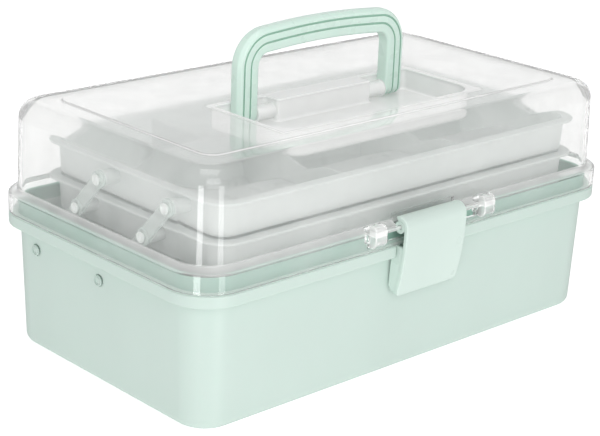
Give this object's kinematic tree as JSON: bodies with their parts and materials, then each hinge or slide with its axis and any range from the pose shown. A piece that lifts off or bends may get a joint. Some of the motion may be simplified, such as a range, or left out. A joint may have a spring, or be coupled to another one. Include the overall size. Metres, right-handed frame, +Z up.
{
  "type": "sewing box with trays",
  "caption": "Lidded sewing box: mint tub, clear hinged lid with folding handle and front latch, and trays on swing arms that lift back as the lid opens.",
  "frame": {"origin": "on the resting surface, under the middle of the tub's floor", "axes": "+X along the length, to the right seen from the front; -Y towards the front with the latch; +Z up"},
  "size_m": [0.33, 0.2046, 0.19],
  "materials": {
    "mint_tub": "satin, slightly translucent",
    "clear_lid": "clear, glossy",
    "mint_handle": "satin gloss",
    "mint_latch": "satin gloss",
    "pale_arm": "frosted, translucent",
    "frosted_tray": "frosted, translucent",
    "pin_plastic": "satin",
    "steel_pin": "plain"
  },
  "bodies": {
    "tub": {"base_tub": "mint_tub", "hinge_pin_left": "steel_pin", "hinge_pin_right": "steel_pin", "base_arm_pins_left": "mint_tub", "base_arm_pins_right": "mint_tub"},
    "lid": {"lid_shell": "clear_lid", "handle_pin_left": "pin_plastic", "handle_pin_right": "pin_plastic", "latch_pin": "clear_lid"},
    "handle": {"handle": "mint_handle"},
    "latch": {"latch": "mint_latch"},
    "front_arms": {"arm_left_front": "pale_arm", "arm_right_front": "pale_arm"},
    "rear_arms": {"arm_left_rear": "pale_arm", "arm_right_rear": "pale_arm"},
    "lower_tray": {"lower_tray": "frosted_tray", "lower_tray_pins_left": "pin_plastic", "lower_tray_pins_right": "pin_plastic"},
    "upper_tray": {"upper_tray": "frosted_tray", "upper_tray_pins_left": "pin_plastic", "upper_tray_pins_right": "pin_plastic"}
  },
  "joints": [
    {"name": "lid_hinge", "type": "hinge", "parent": "tub", "child": "lid", "pos_m": [0, 0.0992, 0.08], "axis": [-1, 0, 0], "range_deg": [0, 105]},
    {"name": "handle_fold", "type": "hinge", "parent": "lid", "child": "handle", "pos_m": [0, -0.0011, 0.138], "axis": [1, 0, 0], "range_deg": [0, 90]},
    {"name": "latch_swing", "type": "hinge", "parent": "lid", "child": "latch", "pos_m": [0, -0.0945, 0.0905], "axis": [-1, 0, 0], "range_deg": [0, 90]},
    {"name": "front_arm_swing", "type": "hinge", "parent": "tub", "child": "front_arms", "pos_m": [0, -0.001, 0.062], "axis": [-1, 0, 0], "range_deg": [0, 66.15]},
    {"name": "rear_arm_swing", "type": "hinge", "parent": "tub", "child": "rear_arms", "pos_m": [0, 0.058, 0.062], "axis": [-1, 0, 0], "range_deg": [0, 66.15]},
    {"name": "lower_tray_level", "type": "hinge", "parent": "front_arms", "child": "lower_tray", "pos_m": [0, -0.031, 0.0945], "axis": [1, 0, 0], "range_deg": [0, 66.15]},
    {"name": "upper_tray_level", "type": "hinge", "parent": "front_arms", "child": "upper_tray", "pos_m": [0, -0.05066, 0.1158], "axis": [1, 0, 0], "range_deg": [0, 66.15]}
  ],
  "couplings": [
    {"joint": "front_arm_swing", "follows": "lid_hinge", "ratio": 0.63},
    {"joint": "rear_arm_swing", "follows": "lid_hinge", "ratio": 0.63},
    {"joint": "lower_tray_level", "follows": "lid_hinge", "ratio": 0.63},
    {"joint": "upper_tray_level", "follows": "lid_hinge", "ratio": 0.63}
  ]
}
